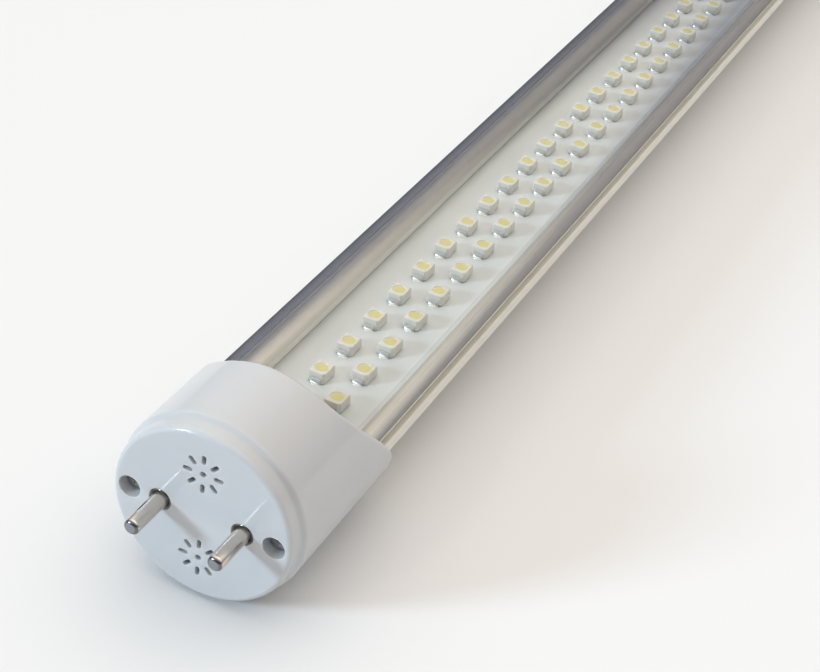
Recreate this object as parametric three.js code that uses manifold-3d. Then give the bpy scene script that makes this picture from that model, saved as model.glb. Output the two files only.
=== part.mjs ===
// LED light tube: a T8 retrofit lamp with a G13 cap at each end. Millimetres, +Z up.
// The tube lies along Y on its two caps, LED side up, and the origin is under its middle.
import * as THREE from 'three';
import { mergeVertices } from 'three/addons/utils/BufferGeometryUtils.js';
import Module from 'manifold-3d';

// ---- driving dimensions -------------------------------------------------------------------
const LENGTH = 589.8;            // cap face to cap face, the 600 mm (2 ft) size of a G13 lamp
const TUBE_R = 13.0;             // T8: 26 mm across
const CAP_R = 14.35;             // barrel of the end cap
const BAND_R = 13.75;            // narrower band next to the cap's face
const PIN_X = 6.35;              // G13: contact pins 12.7 mm apart
const PIN_R = 1.175;             // 2.35 mm pins
const PIN_OUT = 7.1;             // pins stand this far out of the face
const SCREW_X = 11.13;           // cap screws, on the pin line
const VENT_Z = 7.2;              // centre of each group of vent slots, above and below the pins

const HALF = LENGTH / 2;
const SETBACK = 10;              // the tube's ends sit this far inside the cap faces
const TUBE_LENGTH = LENGTH - 2 * SETBACK;

// end cap, measured from its face
const CAP_FLOOR = 2.4;           // thickness of the face plate
const CAP_BORE_R = 13.15;        // inside of the barrel, over the tube
const CAP_SHORT = 17.4;          // length of the barrel on the LED side
const CAP_LONG = 31;             // length of the barrel on the heat sink side
const RIM_TOP_Z = 14;            // the rim's S-curve starts here
const RIM_LOW_Z = -7;            // and ends here
const CAP_SEGMENTS = 40;
const FACE_FILLET = 0.8;
const STEP_START = 2.3;          // the band widens to the barrel between these two
const STEP_END = 3.4;
const PIN_POST_R = 2.3;
const PIN_POST_END = 4.6;
const PIN_HOLE_R = 1.22;
const PIN_RECESS_R = 1.7;
const PIN_RECESS_DEPTH = 0.8;
const SCREW_POST_R = 2.0;
const SCREW_HOLE_R = 1.15;
const COUNTERBORE_R = 1.7;
const COUNTERBORE_DEPTH = 3.0;
const SLOT_INNER = 1.65;         // vent slots run from here to SLOT_OUTER from their centre
const SLOT_OUTER = 3.1;
const SLOT_WIDTH = 0.65;
const SLOTS = 8;
const VENT_CENTRE_R = 0.46;      // round hole in the middle of each group

// extruded heat sink, in the tube's cross-section
const WALL = 1.1;
const CAVITY_R = TUBE_R - WALL;
const SHELF_TOP = -2.9;
const SHELF_BOTTOM = -3.9;
const PORT_OUTER_R = 1.9;        // round screw port at each side
const PORT_R = 1.1;
const PORT_SLOT = 2.0;           // the port opens outwards through a slot this high
const LIP_TOP = 1.15;            // lip above the slot, which the cover meets
const RIB_GROOVES = 25;          // fine grooves along the back
const RIB_GROOVE_R = 0.28;
const RIB_START = 14;            // degrees below the horizontal
const RING_SEGMENTS = 96;

// cover
const COVER_WALL = 1.2;
const COVER_EDGE = 1.2;          // height of the cover's lower edges
const FOOT_WALL = 0.6;           // its feet curl round the screw ports
const PORT_GAP = 0.05;

// LED board
const BOARD_HALF = 9.78;          // just clear of the screw ports
const BOARD_TOP = -1.4;
const BOARD_THICK = 1.2;
const BOARD_INSET = 0.5;         // shorter than the tube by this at each end
const LED_ROW_X = 2.65;
const LED_WIDTH = 2.8;
const LED_LENGTH = 3.5;
const LED_HEIGHT = 1.9;
const LED_PITCH = 8.5;
const LEDS_PER_ROW = 65;
const FIRST_LED = 21.15;         // first LED's centre from the cap face, in the left row
const TRACK_HEIGHT = 0.1;
const TRACK_OVERHANG = 2;

// driver, in the cavity under the shelf
const DRIVER_START = 24;         // from the front cap's face
const DRIVER_LENGTH = 160;
const DRIVER_HALF = 8.2;
const DRIVER_TOP = -4.7;
const DRIVER_THICK = 0.8;
const DRIVER_UNDER = DRIVER_TOP - DRIVER_THICK;
const SLEEVE_OVERHANG = 3;
const SLEEVE_R = 11.6;
const SLEEVE_TOP = -4.2;
const SLEEVE_WALL = 0.25;
const WIRE_R = 0.6;
const SOLDER_GAP = 0.3;

// ---- finishes -----------------------------------------------------------------------------
function finish(color, roughness, metalness = 0) {
  return new THREE.MeshStandardMaterial({ color, roughness, metalness });
}
const whitePlastic = finish(0xe9ecef, 0.28);
const clearPlastic = finish(0xf4f6f6, 0.08);
clearPlastic.transparent = true;
clearPlastic.opacity = 0.35;
const anodised = finish(0xb9b4aa, 0.42, 1);
const nickel = finish(0xb5afa4, 0.28, 1);
const zincSteel = finish(0x9b9c9e, 0.35, 1);
const whiteBoard = finish(0xecebe4, 0.5);
const ledPackage = finish(0xf3f1e4, 0.45);
const greyPad = finish(0x8f9496, 0.9);
const greenBoard = finish(0x2f6b46, 0.55);
const amberFilm = finish(0xd9a441, 0.3);
const blackEpoxy = finish(0x1c1c1e, 0.5);
const blueEpoxy = finish(0x2f57a8, 0.4);
const ferrite = finish(0x3a3a3c, 0.7);
const yellowTape = finish(0xe3c33b, 0.5);
const greyPaint = finish(0x7c868c, 0.45);
const capSleeve = finish(0x22324f, 0.35);
const redWire = finish(0xb3261e, 0.45);
const blackWire = finish(0x232323, 0.45);
const blueWire = finish(0x2b5fae, 0.45);

// ---- solids -------------------------------------------------------------------------------
const wasm = await Module();
wasm.setup();

function solid(geometry) {
  const bare = geometry.clone();
  bare.deleteAttribute('normal');
  bare.deleteAttribute('uv');
  const merged = mergeVertices(bare);
  const corners = [...merged.index.array];
  const kept = [];
  for (let i = 0; i < corners.length; i += 3) {
    const [a, b, c] = corners.slice(i, i + 3);
    if (a !== b && b !== c && c !== a) kept.push(a, b, c);
  }
  const vertProperties = new Float32Array(merged.attributes.position.array);
  const mesh = new wasm.Mesh({ numProp: 3, vertProperties, triVerts: new Uint32Array(kept) });
  return new wasm.Manifold(mesh);
}

function geometryOf(manifold) {
  const mesh = manifold.getMesh();
  const geometry = new THREE.BufferGeometry();
  geometry.setAttribute('position', new THREE.BufferAttribute(mesh.vertProperties, 3));
  geometry.setIndex(new THREE.BufferAttribute(mesh.triVerts, 1));
  return geometry;
}

function union(first, ...others) {
  return others.reduce((sum, next) => sum.add(next), first);
}

// A shape drawn in x and z, run along +Y from start.
function alongY(shape, length, start, curveSegments = 12) {
  const geometry = new THREE.ExtrudeGeometry(shape, {
    depth: length, bevelEnabled: false, curveSegments,
  });
  geometry.rotateX(Math.PI / 2);
  geometry.translate(0, start + length, 0);
  return geometry;
}

// A round bar along Y, from start to end, centred on x, z.
function bar(radius, start, end, x = 0, z = 0, sides = 16) {
  const geometry = new THREE.CylinderGeometry(radius, radius, end - start, sides);
  geometry.translate(x, (start + end) / 2, z);
  return geometry;
}

// A block between two corners.
function block([x0, y0, z0], [x1, y1, z1]) {
  const geometry = new THREE.BoxGeometry(x1 - x0, y1 - y0, z1 - z0);
  geometry.translate((x0 + x1) / 2, (y0 + y1) / 2, (z0 + z1) / 2);
  return geometry;
}

// Points of an arc in a lathe profile, as (radius, y).
function arc(centreR, centreY, radius, from, to, steps) {
  const points = [];
  for (let i = 0; i <= steps; i++) {
    const angle = THREE.MathUtils.degToRad(from + ((to - from) * i) / steps);
    const r = centreR + radius * Math.cos(angle);
    points.push(new THREE.Vector2(r, centreY + radius * Math.sin(angle)));
  }
  return points;
}

function lathe(points, segments) {
  const profile = points.map((p) => (p.isVector2 ? p : new THREE.Vector2(...p)));
  return geometryOf(solid(new THREE.LatheGeometry(profile, segments)));
}

const tube = new THREE.Group();
tube.position.z = CAP_R;

function add(parent, name, geometry, material) {
  const mesh = new THREE.Mesh(geometry, material);
  mesh.name = name;
  parent.add(mesh);
  return mesh;
}

// ---- end caps -----------------------------------------------------------------------------
// The barrel's rear rim, seen from the side, runs in an S from short on the LED side to long
// under the heat sink.
function rimLength(z) {
  return CAP_LONG + (CAP_SHORT - CAP_LONG) * THREE.MathUtils.smoothstep(z, RIM_LOW_Z, RIM_TOP_Z);
}

function rimCutter() {
  const beyond = CAP_LONG + 5;
  const reach = CAP_R + 2;
  const steps = 14;
  const shape = new THREE.Shape();
  shape.moveTo(beyond, -reach);
  shape.lineTo(beyond, reach);
  shape.lineTo(CAP_SHORT, reach);
  for (let i = 0; i <= steps; i++) {
    const z = RIM_TOP_Z + ((RIM_LOW_Z - RIM_TOP_Z) * i) / steps;
    shape.lineTo(rimLength(z), z);
  }
  shape.lineTo(CAP_LONG, -reach);
  const geometry = new THREE.ExtrudeGeometry(shape, { depth: 2 * reach, bevelEnabled: false });
  geometry.translate(0, 0, -reach);
  geometry.applyMatrix4(new THREE.Matrix4().makeBasis(
    new THREE.Vector3(0, 1, 0), new THREE.Vector3(0, 0, 1), new THREE.Vector3(1, 0, 0)));
  return geometry;
}

function capShell() {
  const faceR = BAND_R - FACE_FILLET;
  return lathe([
    [0, 0],
    ...arc(faceR, FACE_FILLET, FACE_FILLET, -90, 0, 3),
    [BAND_R, STEP_START],
    [(BAND_R + CAP_R) / 2, (STEP_START + STEP_END) / 2],
    [CAP_R, STEP_END],
    [CAP_R, CAP_LONG],
    [CAP_BORE_R, CAP_LONG],
    [CAP_BORE_R, CAP_FLOOR],
    [0, CAP_FLOOR],
  ], CAP_SEGMENTS);
}

function ventSlot(angle, z) {
  const radius = SLOT_WIDTH / 2;
  const shape = new THREE.Shape();
  shape.absarc(SLOT_OUTER - radius, 0, radius, -Math.PI / 2, Math.PI / 2);
  shape.absarc(SLOT_INNER + radius, 0, radius, Math.PI / 2, 1.5 * Math.PI);
  const geometry = alongY(shape, CAP_FLOOR + 2, -1, 2);
  geometry.rotateY(-angle);
  geometry.translate(0, 0, z);
  return geometry;
}

function capHoles() {
  const cuts = [];
  for (const side of [-1, 1]) {
    cuts.push(bar(PIN_RECESS_R, -1, PIN_RECESS_DEPTH, side * PIN_X));
    cuts.push(bar(PIN_HOLE_R, -1, PIN_POST_END + 1, side * PIN_X));
    cuts.push(bar(COUNTERBORE_R, -1, COUNTERBORE_DEPTH, side * SCREW_X));
    cuts.push(bar(SCREW_HOLE_R, -1, SETBACK + 1, side * SCREW_X));
    cuts.push(bar(VENT_CENTRE_R, -1, CAP_FLOOR + 1, 0, side * VENT_Z, 8));
    for (let i = 0; i < SLOTS; i++) {
      cuts.push(ventSlot((2 * Math.PI * i) / SLOTS, side * VENT_Z));
    }
  }
  return cuts;
}

function capGeometry() {
  const inside = CAP_FLOOR - 0.5;
  const posts = [-1, 1].flatMap((side) => [
    bar(PIN_POST_R, inside, PIN_POST_END, side * PIN_X),
    bar(SCREW_POST_R, inside, SETBACK, side * SCREW_X),
  ]);
  let cap = union(solid(capShell()), ...posts.map(solid));
  cap = cap.subtract(solid(rimCutter()));
  for (const cut of capHoles()) cap = cap.subtract(solid(cut));
  return geometryOf(cap);
}

// Plated contact pin: rounded tip outside, peened collar and wire tail inside.
function pinGeometry() {
  const tipRound = 0.75;
  const collarR = 1.9;
  const collarEnd = PIN_POST_END + 0.6;
  const tailR = 0.9;
  const tailEnd = 5.8;
  return lathe([
    [0, -PIN_OUT],
    ...arc(PIN_R - tipRound, -PIN_OUT + tipRound, tipRound, -90, 0, 4),
    [PIN_R, PIN_POST_END],
    [collarR, PIN_POST_END],
    [collarR, collarEnd],
    [tailR, collarEnd],
    [tailR, tailEnd],
    [0, tailEnd],
  ], 16);
}

// Self-tapping screw with a cross recess, its head on the floor of the counterbore.
function screwGeometry() {
  const headR = 1.6;
  const headTop = COUNTERBORE_DEPTH - 1.5;
  const shankR = 1.0;
  const shankEnd = 15.5;
  const tipEnd = 16.8;
  const crossLength = 1.7;
  const crossWidth = 0.4;
  const crossFloor = headTop + 0.7;
  const screw = solid(lathe([
    [0, headTop],
    [headR * 0.6, headTop + 0.08],
    [headR * 0.92, headTop + 0.35],
    [headR, headTop + 0.65],
    [headR, COUNTERBORE_DEPTH],
    [shankR, COUNTERBORE_DEPTH],
    [shankR, shankEnd],
    [0, tipEnd],
  ], 16));
  const long = crossLength / 2;
  const thin = crossWidth / 2;
  return geometryOf(screw
    .subtract(solid(block([-long, 0, -thin], [long, crossFloor, thin])))
    .subtract(solid(block([-thin, 0, -long], [thin, crossFloor, long]))));
}

function addEnd(end, turned) {
  const group = new THREE.Group();
  group.position.y = turned ? HALF : -HALF;
  group.rotation.z = turned ? Math.PI : 0;
  tube.add(group);
  add(group, `${end}_end_cap`, capGeometry(), whitePlastic);
  const sides = turned ? { left: 1, right: -1 } : { left: -1, right: 1 };
  for (const [side, sign] of Object.entries(sides)) {
    add(group, `${end}_pin_${side}`, pinGeometry(), nickel).position.x = sign * PIN_X;
    add(group, `${end}_screw_${side}`, screwGeometry(), zincSteel).position.x = sign * SCREW_X;
  }
}
addEnd('front', false);
addEnd('rear', true);

// ---- tube ---------------------------------------------------------------------------------
const tubeStart = -HALF + SETBACK;
const tubeEnd = HALF - SETBACK;

// Bars and blocks that run past both ends of the tube, to cut it with.
const cutStart = tubeStart - 1;
const cutEnd = tubeEnd + 1;

function heatSinkGeometry() {
  const reach = TUBE_R + 2;
  const disc = solid(bar(TUBE_R, tubeStart, tubeEnd, 0, 0, RING_SEGMENTS));
  const cavity = solid(bar(CAVITY_R, cutStart, cutEnd, 0, 0, RING_SEGMENTS));
  const upperHalf = solid(block([-reach, cutStart, 0], [reach, cutEnd, reach]));
  const shelf = solid(block([-CAVITY_R, tubeStart, SHELF_BOTTOM], [CAVITY_R, tubeEnd, SHELF_TOP]));
  let sink = disc.subtract(cavity).subtract(upperHalf);
  sink = sink.add(shelf.intersect(disc));
  for (const side of [-1, 1]) {
    const x = side * SCREW_X;
    const outer = side * reach;
    const lip = block([Math.min(x, outer), tubeStart, -PORT_OUTER_R],
      [Math.max(x, outer), tubeEnd, LIP_TOP]);
    const port = solid(bar(PORT_OUTER_R, tubeStart, tubeEnd, x, 0, 24));
    sink = sink.add(port.add(solid(lip)).intersect(disc));
    const slot = block([Math.min(x, outer), cutStart, -PORT_SLOT / 2],
      [Math.max(x, outer), cutEnd, PORT_SLOT / 2]);
    sink = sink.subtract(solid(bar(PORT_R, cutStart, cutEnd, x)));
    sink = sink.subtract(solid(slot));
  }
  for (let i = 0; i < RIB_GROOVES; i++) {
    const degrees = RIB_START + ((180 - 2 * RIB_START) * i) / (RIB_GROOVES - 1);
    const angle = THREE.MathUtils.degToRad(degrees);
    const x = TUBE_R * Math.cos(angle);
    const z = -TUBE_R * Math.sin(angle);
    sink = sink.subtract(solid(bar(RIB_GROOVE_R, cutStart, cutEnd, x, z, 6)));
  }
  return geometryOf(sink);
}

function coverGeometry() {
  const reach = TUBE_R + 2;
  const innerR = TUBE_R - COVER_WALL;
  const portR = PORT_OUTER_R + PORT_GAP;
  const disc = solid(bar(TUBE_R, tubeStart, tubeEnd, 0, 0, RING_SEGMENTS));
  let cover = disc.subtract(solid(bar(innerR, cutStart, cutEnd, 0, 0, RING_SEGMENTS)));
  for (const side of [-1, 1]) {
    const foot = solid(bar(portR + FOOT_WALL, tubeStart, tubeEnd, side * SCREW_X, 0, 24));
    cover = cover.add(foot.intersect(disc));
  }
  for (const side of [-1, 1]) {
    cover = cover.subtract(solid(bar(portR, cutStart, cutEnd, side * SCREW_X, 0, 24)));
  }
  const below = block([-reach, cutStart, -reach], [reach, cutEnd, COVER_EDGE]);
  return geometryOf(cover.subtract(solid(below)));
}

// One row of LED packages standing on the copper track that joins them.
function ledRowGeometry(firstLed) {
  const top = TRACK_HEIGHT;
  const shape = new THREE.Shape();
  const start = firstLed - LED_LENGTH / 2 - TRACK_OVERHANG;
  const rowLength = (LEDS_PER_ROW - 1) * LED_PITCH + LED_LENGTH + 2 * TRACK_OVERHANG;
  shape.moveTo(start, 0);
  shape.lineTo(start + rowLength, 0);
  shape.lineTo(start + rowLength, top);
  for (let i = LEDS_PER_ROW - 1; i >= 0; i--) {
    const centre = firstLed + i * LED_PITCH;
    shape.lineTo(centre + LED_LENGTH / 2, top);
    shape.lineTo(centre + LED_LENGTH / 2, LED_HEIGHT);
    shape.lineTo(centre - LED_LENGTH / 2, LED_HEIGHT);
    shape.lineTo(centre - LED_LENGTH / 2, top);
  }
  shape.lineTo(start, top);
  const geometry = new THREE.ExtrudeGeometry(shape, { depth: LED_WIDTH, bevelEnabled: false });
  geometry.translate(0, 0, -LED_WIDTH / 2);
  geometry.applyMatrix4(new THREE.Matrix4().makeBasis(
    new THREE.Vector3(0, 1, 0), new THREE.Vector3(0, 0, 1), new THREE.Vector3(1, 0, 0)));
  return geometry;
}

function addTube() {
  const boardStart = tubeStart + BOARD_INSET;
  const boardEnd = tubeEnd - BOARD_INSET;
  const boardBottom = BOARD_TOP - BOARD_THICK;
  add(tube, 'heat_sink', heatSinkGeometry(), anodised);
  add(tube, 'clear_cover', coverGeometry(), clearPlastic);
  add(tube, 'led_board', block([-BOARD_HALF, boardStart, boardBottom],
    [BOARD_HALF, boardEnd, BOARD_TOP]), whiteBoard);
  add(tube, 'thermal_pad', block([-BOARD_HALF + 1, boardStart, SHELF_TOP],
    [BOARD_HALF - 1, boardEnd, boardBottom]), greyPad);
  // The two rows mirror each other end for end.
  const lastLed = FIRST_LED + (LEDS_PER_ROW - 1) * LED_PITCH;
  const left = add(tube, 'led_row_left', ledRowGeometry(FIRST_LED - HALF), ledPackage);
  left.position.set(-LED_ROW_X, 0, BOARD_TOP);
  const right = add(tube, 'led_row_right', ledRowGeometry(HALF - lastLed), ledPackage);
  right.position.set(LED_ROW_X, 0, BOARD_TOP);
}
addTube();

// ---- driver -------------------------------------------------------------------------------
// Half of the D-shaped outline of the cavity under the shelf.
function cavityOutline(path, radius, top) {
  const angle = Math.asin(top / radius);
  path.absarc(0, 0, radius, Math.PI - angle, 2 * Math.PI + angle);
  path.closePath();
  return path;
}

function sleeveGeometry(start, length) {
  const shape = cavityOutline(new THREE.Shape(), SLEEVE_R, SLEEVE_TOP);
  const inner = cavityOutline(new THREE.Path(), SLEEVE_R - SLEEVE_WALL, SLEEVE_TOP - SLEEVE_WALL);
  shape.holes.push(inner);
  return alongY(shape, length, start, 24);
}

// A part hanging under the board: width in x, length in y, height down, centred on x and y.
function hanging(width, length, height, x, y) {
  return block([x - width / 2, y - length / 2, DRIVER_UNDER - height],
    [x + width / 2, y + length / 2, DRIVER_UNDER]);
}

// A round part lying along the board.
function lying(radius, length, x, y) {
  const z = DRIVER_UNDER - radius - 0.05;
  return bar(radius, y - length / 2, y + length / 2, x, z, 16);
}

// A round part standing on the board, its axis upright.
function standing(radius, height, x, y) {
  const geometry = new THREE.CylinderGeometry(radius, radius, height, 16);
  geometry.rotateX(Math.PI / 2);
  geometry.translate(x, y, DRIVER_UNDER - height / 2);
  return geometry;
}

// Ferrite frame of the transformer, and the winding that fills its window.
function transformerCore(y) {
  const coreHeight = 4.6;
  const windowHalfX = 3;
  const windowHalfY = 4.5;
  const outer = solid(hanging(9, 13, coreHeight, 0, y));
  const window = solid(block(
    [-windowHalfX, y - windowHalfY, DRIVER_UNDER - coreHeight - 1],
    [windowHalfX, y + windowHalfY, DRIVER_UNDER + 1]));
  return geometryOf(outer.subtract(window));
}

function transformerWinding(y) {
  return hanging(5.4, 8.4, 4.3, 0, y);
}

function addDriver() {
  const start = -HALF + DRIVER_START;
  const end = start + DRIVER_LENGTH;
  const at = (distance) => start + distance;
  add(tube, 'driver_board', block([-DRIVER_HALF, start, DRIVER_UNDER],
    [DRIVER_HALF, end, DRIVER_TOP]), greenBoard);
  add(tube, 'driver_sleeve', sleeveGeometry(start - SLEEVE_OVERHANG,
    DRIVER_LENGTH + 2 * SLEEVE_OVERHANG), amberFilm);
  add(tube, 'fuse_resistor', lying(1.6, 9, -5, at(16)), greyPaint);
  add(tube, 'varistor', standing(3.2, 3.0, 3.6, at(16)), blueEpoxy);
  add(tube, 'film_capacitor', hanging(9.6, 6, 4.4, 0, at(30)), yellowTape);
  add(tube, 'input_choke', standing(3.6, 4.6, 0, at(42)), ferrite);
  add(tube, 'bridge_rectifier', hanging(4.8, 4, 2.4, 0, at(52)), blackEpoxy);
  add(tube, 'input_capacitor', lying(2.6, 20, 0, at(69)), capSleeve);
  add(tube, 'driver_chip', hanging(3.9, 4.9, 1.6, -3.5, at(86)), blackEpoxy);
  add(tube, 'transformer_core', transformerCore(at(102)), ferrite);
  add(tube, 'transformer_winding', transformerWinding(at(102)), yellowTape);
  add(tube, 'output_diode', hanging(2.8, 4.5, 2.2, 3.2, at(118)), blackEpoxy);
  add(tube, 'output_capacitor', lying(2.6, 12, 0, at(132)), capSleeve);
}
addDriver();

// ---- wires --------------------------------------------------------------------------------
function wireGeometry(points, steps) {
  const section = new THREE.Shape();
  section.absarc(0, 0, WIRE_R, 0, 2 * Math.PI);
  const path = new THREE.CatmullRomCurve3(points.map((p) => new THREE.Vector3(...p)));
  return new THREE.ExtrudeGeometry(section, {
    steps, curveSegments: 4, extrudePath: path, bevelEnabled: false,
  });
}

// From a front contact pin, down past the end of the shelf, to the driver's input.
function mainsWire(side) {
  const face = -HALF;
  return wireGeometry([
    [side * PIN_X, face + 6.1, 0],
    [side * 6.3, face + 7.3, -0.6],
    [side * 6.0, face + 8.4, -2.4],
    [side * 5.6, face + 8.8, -4.6],
    [side * 5.4, face + 10.4, -6.6],
    [side * 5.2, face + 14, -7.3],
    [side * 5.0, face + 22, -7.2],
    [side * 5.0, face + DRIVER_START + 3.5, DRIVER_UNDER - WIRE_R - SOLDER_GAP],
  ], 24);
}

// From the driver's output, up round the front end of the shelf to the LED board.
function outputWire(side) {
  const face = -HALF;
  const x = side * 2.5;
  return wireGeometry([
    [x, face + DRIVER_START + 3.5, DRIVER_UNDER - WIRE_R - SOLDER_GAP],
    [x, face + 20, -7.3],
    [x, face + 12.5, -7.0],
    [x, face + 8.9, -5.2],
    [x, face + 8.1, -2.2],
    [x, face + 8.8, 0.1],
    [x, face + 10.6, 0.7],
    [x, face + 12.6, 0.2],
    [x, face + 14.5, BOARD_TOP + WIRE_R + SOLDER_GAP],
  ], 28);
}

// The two rear pins only hold the lamp, and a short link joins them.
function linkWire() {
  const face = HALF;
  return wireGeometry([
    [-PIN_X, face - 6.1, 0],
    [-6.0, face - 7.4, 0.7],
    [-3.8, face - 8.1, 1.7],
    [0, face - 8.2, 2.2],
    [3.8, face - 8.1, 1.7],
    [6.0, face - 7.4, 0.7],
    [PIN_X, face - 6.1, 0],
  ], 18);
}

add(tube, 'live_wire', mainsWire(-1), redWire);
add(tube, 'neutral_wire', mainsWire(1), blueWire);
add(tube, 'positive_wire', outputWire(-1), redWire);
add(tube, 'negative_wire', outputWire(1), blackWire);
add(tube, 'rear_link_wire', linkWire(), blackWire);

const group = new THREE.Group();
group.add(tube);
export default group;
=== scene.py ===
import math
import random

import bmesh
import bpy
from mathutils import Matrix, Vector
from mathutils.geometry import delaunay_2d_cdt


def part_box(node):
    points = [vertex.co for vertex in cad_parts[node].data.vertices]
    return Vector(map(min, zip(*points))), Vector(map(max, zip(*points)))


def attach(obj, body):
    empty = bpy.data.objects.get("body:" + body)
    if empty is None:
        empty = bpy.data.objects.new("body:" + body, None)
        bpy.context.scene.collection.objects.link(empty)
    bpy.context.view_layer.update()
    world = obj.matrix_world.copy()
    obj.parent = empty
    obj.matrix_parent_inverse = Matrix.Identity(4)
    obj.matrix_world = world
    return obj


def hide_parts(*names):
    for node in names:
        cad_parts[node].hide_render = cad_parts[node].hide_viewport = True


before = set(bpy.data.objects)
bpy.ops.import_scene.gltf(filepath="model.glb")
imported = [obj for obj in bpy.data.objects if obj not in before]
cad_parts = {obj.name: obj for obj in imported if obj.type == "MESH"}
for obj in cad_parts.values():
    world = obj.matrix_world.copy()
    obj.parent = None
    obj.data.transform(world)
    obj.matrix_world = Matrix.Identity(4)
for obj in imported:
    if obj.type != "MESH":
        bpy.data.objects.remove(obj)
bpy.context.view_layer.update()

# Shapes are drawn in millimetres in the tube's own frame: x across, y along the tube from the
# cap's face, z up from the tube's axis. place() carries them into the row frame, in metres.
MM = 0.001

# ---- sizes taken from the frame -----------------------------------------------------------
cap_low, cap_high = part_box("front_end_cap")
pin_low, pin_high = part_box("front_pin_right")
screw_low, screw_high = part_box("front_screw_right")
sink_low, sink_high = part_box("heat_sink")
board_low, board_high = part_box("led_board")
leds_low, leds_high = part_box("led_row_left")

AXIS_Z = (cap_low.z + cap_high.z) / 2
CAP_R = (cap_high.x - cap_low.x) / 2 / MM
CAP_LONG = (cap_high.y - cap_low.y) / MM
PIN_X = (pin_low.x + pin_high.x) / 2 / MM
PIN_OUT = (cap_low.y - pin_low.y) / MM
SCREW_X = (screw_low.x + screw_high.x) / 2 / MM
TUBE_R = (AXIS_Z - sink_low.z) / MM
TUBE_START = (sink_low.y - cap_low.y) / MM
TUBE_LENGTH = (sink_high.y - sink_low.y) / MM
LENGTH = TUBE_LENGTH + 2 * TUBE_START
BOARD_TOP = (board_high.z - AXIS_Z) / MM
BOARD_BOTTOM = (board_low.z - AXIS_Z) / MM
BOARD_HALF = board_high.x / MM
BOARD_START = (board_low.y - cap_low.y) / MM
LED_X = -(leds_low.x + leds_high.x) / 2 / MM
LED_HEIGHT = (leds_high.z - leds_low.z) / MM

# ---- sizes that the frame doesn't give ----------------------------------------------------
# end cap, from its face back: a rounded edge, a narrow band, a soft step and the barrel
FACE_FILLET = 0.8
BAND_R = 13.75
STEP_START = 2.3
STEP_END = 3.4
BORE_R = 13.15
CAP_FLOOR = 2.4
# the barrel is CAP_SHORT long above RIM_TOP_Z and CAP_LONG below RIM_LOW_Z, and slants between
CAP_SHORT = 17.4
RIM_TOP_Z = 14.0
RIM_LOW_Z = -7.0
RIM_ROUND = 0.95
# a vent is a round hole inside a ring of slots, one vent above the pins and one below
VENT_Z = 7.2
VENT_HOLE_R = 0.46
VENT_SLOTS = 8
VENT_SLOT_INNER = 1.65
VENT_SLOT_OUTER = 3.1
VENT_SLOT_R = 0.325
# a pin stands in a shallow recess and goes through a post behind the cap's floor
PIN_RECESS_R = 1.7
PIN_RECESS_DEPTH = 0.8
PIN_HOLE_R = 1.22
PIN_POST_R = 2.3
PIN_POST_END = 4.6
# a screw sits at the bottom of a counterbore and goes through a post to the heat sink
COUNTERBORE_R = 1.7
COUNTERBORE_DEPTH = 3.0
SCREW_HOLE_R = 1.15
SCREW_POST_R = 1.95
HEAD_HEIGHT = 1.5

# heat sink: the driver's cavity under the shelf
CAVITY_R = 11.9
SHELF_TOP = -2.9
SHELF_BOTTOM = -3.9
# its two screw ports open outwards as side slots, with a lip above each slot
PORT = (SCREW_X, 0)
PORT_R = 1.1
PORT_OUTER_R = 1.9
SIDE_SLOT_HALF = 1.0
LIP_TOP = 1.15

# cover: COVER_EDGE is the height of its lower edges. Its feet grip the ports from outside
COVER_WALL = 1.2
COVER_EDGE = 1.2
FOOT_WALL = 0.6
PORT_GAP = 0.05

# LED packages
LED_PITCH = 8.5
LEDS_PER_ROW = 65
FIRST_LED = 21.15
LED_LENGTH = 3.5
LED_WIDTH = 2.8

# points closer than this, in millimetres, count as one when a flat face is filled
SAME_POINT = 1e-7
# corners closer than this, in metres, are joined
WELD = 1e-8


# ---- mesh building ------------------------------------------------------------------------
class Shape:
    """A mesh in the making: corners, faces and a material number for each face."""

    def __init__(self):
        self.points = []
        self.faces = []
        self.finish = []

    def loop(self, points):
        """Adds points and gives their numbers."""
        start = len(self.points)
        self.points.extend(tuple(p) for p in points)
        return list(range(start, len(self.points)))

    def face(self, corners, finish=0):
        self.faces.append(tuple(corners))
        self.finish.append(finish)

    def bridge(self, a, b, finish=0):
        """Quads between two closed loops of the same length."""
        count = len(a)
        for i in range(count):
            j = (i + 1) % count
            self.face((a[i], a[j], b[j], b[i]), finish)

    def stack(self, rings, finish=0):
        """Quads from each loop to the next."""
        for a, b in zip(rings, rings[1:]):
            self.bridge(a, b, finish)

    def fan(self, loop, centre, finish=0):
        """Triangles from a loop to one point."""
        middle = self.loop([centre])[0]
        for i, corner in enumerate(loop):
            self.face((corner, loop[(i + 1) % len(loop)], middle), finish)

    def fill(self, outer, holes, axes):
        """A flat face inside the outer loop and outside the convex holes, spanned by two axes."""
        inside_only = 1
        flat, edges, back, owner = [], [], [], []
        for number, loop in enumerate([outer] + holes):
            first = len(flat)
            for i, corner in enumerate(loop):
                p = self.points[corner]
                flat.append(Vector((p[axes[0]], p[axes[1]])))
                edges.append((first + i, first + (i + 1) % len(loop)))
                back.append(corner)
                owner.append(number)
        made = delaunay_2d_cdt(flat, edges, [], inside_only, SAME_POINT)
        triangles, sources = made[2], made[3]
        for triangle in triangles:
            origins = [sources[k][0] for k in triangle]
            owners = {owner[k] for k in origins}
            # a triangle with all its corners on one hole lies in that hole
            if owners == {0} or len(owners) > 1:
                self.face([back[k] for k in origins])

    def add(self, other, move=Matrix.Identity(4)):
        """Adds a copy of another shape."""
        shift = len(self.points)
        self.points.extend(tuple(move @ Vector(p)) for p in other.points)
        self.faces.extend(tuple(k + shift for k in face) for face in other.faces)
        self.finish.extend(other.finish)


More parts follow.
